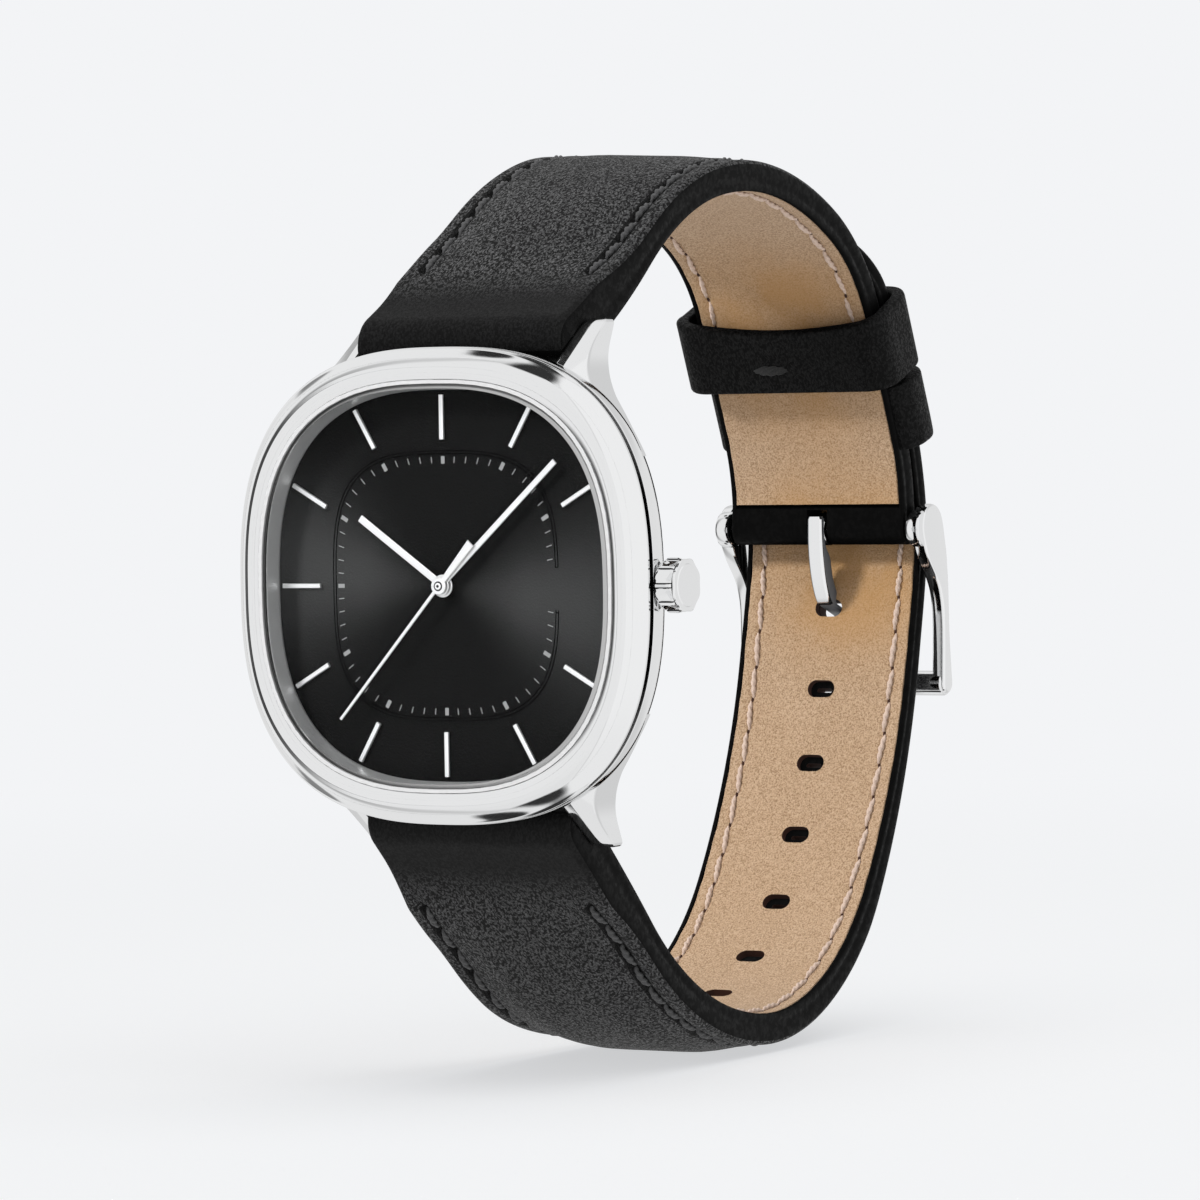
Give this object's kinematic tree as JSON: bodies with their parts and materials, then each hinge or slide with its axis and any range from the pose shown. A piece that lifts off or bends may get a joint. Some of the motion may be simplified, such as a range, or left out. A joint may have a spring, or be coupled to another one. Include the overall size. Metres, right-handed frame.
{
  "type": "wristwatch",
  "caption": "Cushion-shaped three-hand quartz watch in polished steel with a black dial, on a padded two-piece leather strap closed by a pin buckle.",
  "frame": {"origin": "centre of the case back's outer face", "axes": "+X from the dial's centre to the crown, +Z to 12 o'clock, +Y from the case back to the wrist, so the dial faces -Y"},
  "size_m": [0.0421, 0.076, 0.0783],
  "materials": {
    "polished_steel": "polished stainless steel",
    "satin_steel": "satin stainless steel",
    "crystal": "clear mineral glass",
    "seal": "matt elastomer",
    "dial_lacquer": "black sunburst lacquer",
    "hand_metal": "bright silver, satin face",
    "white_plastic": "moulded",
    "movement_brass": "fine brushed",
    "cell_steel": "satin",
    "copper_wire": "enamelled winding",
    "board": "solder resist",
    "black_calf": "fine grained, semi-matt",
    "tan_lining": "brushed nubuck",
    "padding": "felt"
  },
  "bodies": {
    "watch": {"mid_case": "polished_steel", "bezel": "polished_steel", "crystal": "crystal", "crystal_gasket": "seal", "rehaut": "satin_steel", "dial": "dial_lacquer", "hour_markers": "hand_metal", "case_back": "polished_steel", "back_gasket": "seal", "movement_ring": "white_plastic", "main_plate": "movement_brass", "train_cover": "movement_brass", "battery": "cell_steel", "battery_strap": "cell_steel", "coil": "copper_wire", "circuit_board": "board", "crown_tube": "satin_steel", "upper_bar_tube": "satin_steel", "lower_bar_tube": "satin_steel", "short_leather": "black_calf", "short_filler": "padding", "short_lining": "tan_lining", "long_leather": "black_calf", "long_filler": "padding", "long_lining": "tan_lining", "fixed_keeper": "black_calf", "buckle_bar": "satin_steel"},
    "second_train": {"second_hand": "hand_metal", "second_wheel": "movement_brass"},
    "minute_train": {"minute_hand": "hand_metal", "cannon_pinion": "movement_brass"},
    "minute_reduction": {"minute_wheel": "movement_brass"},
    "hour_train": {"hour_hand": "hand_metal", "hour_wheel": "movement_brass"},
    "clutch_pinion": {"sliding_pinion": "satin_steel"},
    "winding_crown": {"crown": "polished_steel", "stem": "satin_steel", "crown_gasket": "seal"},
    "upper_left_plunger": {"upper_plunger_left": "satin_steel"},
    "upper_right_plunger": {"upper_plunger_right": "satin_steel"},
    "lower_left_plunger": {"lower_plunger_left": "satin_steel"},
    "lower_right_plunger": {"lower_plunger_right": "satin_steel"},
    "sliding_keeper": {"free_keeper": "black_calf"},
    "buckle": {"buckle_frame": "polished_steel"},
    "tongue": {"buckle_tongue": "polished_steel"}
  },
  "joints": [
    {"name": "seconds_turn", "type": "hinge", "parent": "watch", "child": "second_train", "pos_m": [0, 0, 0], "axis": [0, 1, 0], "continuous": true},
    {"name": "minutes_turn", "type": "hinge", "parent": "watch", "child": "minute_train", "pos_m": [0, 0, 0], "axis": [0, 1, 0], "continuous": true},
    {"name": "hours_turn", "type": "hinge", "parent": "watch", "child": "hour_train", "pos_m": [0, 0, 0], "axis": [0, 1, 0], "continuous": true},
    {"name": "minute_wheel_turn", "type": "hinge", "parent": "watch", "child": "minute_reduction", "pos_m": [0, 0, -0.0022], "axis": [0, 1, 0], "continuous": true},
    {"name": "crown_turn", "type": "hinge", "parent": "watch", "child": "clutch_pinion", "pos_m": [0, -0.0042, 0], "axis": [1, 0, 0], "continuous": true},
    {"name": "crown_pull", "type": "slide", "parent": "clutch_pinion", "child": "winding_crown", "axis": [1, 0, 0], "range_m": [0, 0.0009]},
    {"name": "upper_left_plunger_press", "type": "slide", "parent": "watch", "child": "upper_left_plunger", "axis": [1, 0, 0], "range_m": [0, 0.001], "stiffness_N_per_m": 400, "springref_m": -0.0015},
    {"name": "upper_right_plunger_press", "type": "slide", "parent": "watch", "child": "upper_right_plunger", "axis": [-1, 0, 0], "range_m": [0, 0.001], "stiffness_N_per_m": 400, "springref_m": -0.0015},
    {"name": "lower_left_plunger_press", "type": "slide", "parent": "watch", "child": "lower_left_plunger", "axis": [1, 0, 0], "range_m": [0, 0.001], "stiffness_N_per_m": 400, "springref_m": -0.0015},
    {"name": "lower_right_plunger_press", "type": "slide", "parent": "watch", "child": "lower_right_plunger", "axis": [-1, 0, 0], "range_m": [0, 0.001], "stiffness_N_per_m": 400, "springref_m": -0.0015},
    {"name": "keeper_slide", "type": "slide", "parent": "watch", "child": "sliding_keeper", "axis": [0, -0.3987, 0.9171], "range_m": [-0.0004, 0.002]},
    {"name": "buckle_swing", "type": "hinge", "parent": "watch", "child": "buckle", "pos_m": [0, 0.06158, 0.00305], "axis": [1, 0, 0], "range_deg": [-4, 0]},
    {"name": "tongue_lift", "type": "hinge", "parent": "watch", "child": "tongue", "pos_m": [0, 0.06158, 0.00305], "axis": [1, 0, 0], "range_deg": [0, 2.5]}
  ],
  "couplings": [
    {"joint": "minutes_turn", "follows": "seconds_turn", "ratio": 0.016667},
    {"joint": "hours_turn", "follows": "seconds_turn", "ratio": 0.0013889},
    {"joint": "minute_wheel_turn", "follows": "seconds_turn", "ratio": -0.0055556}
  ]
}
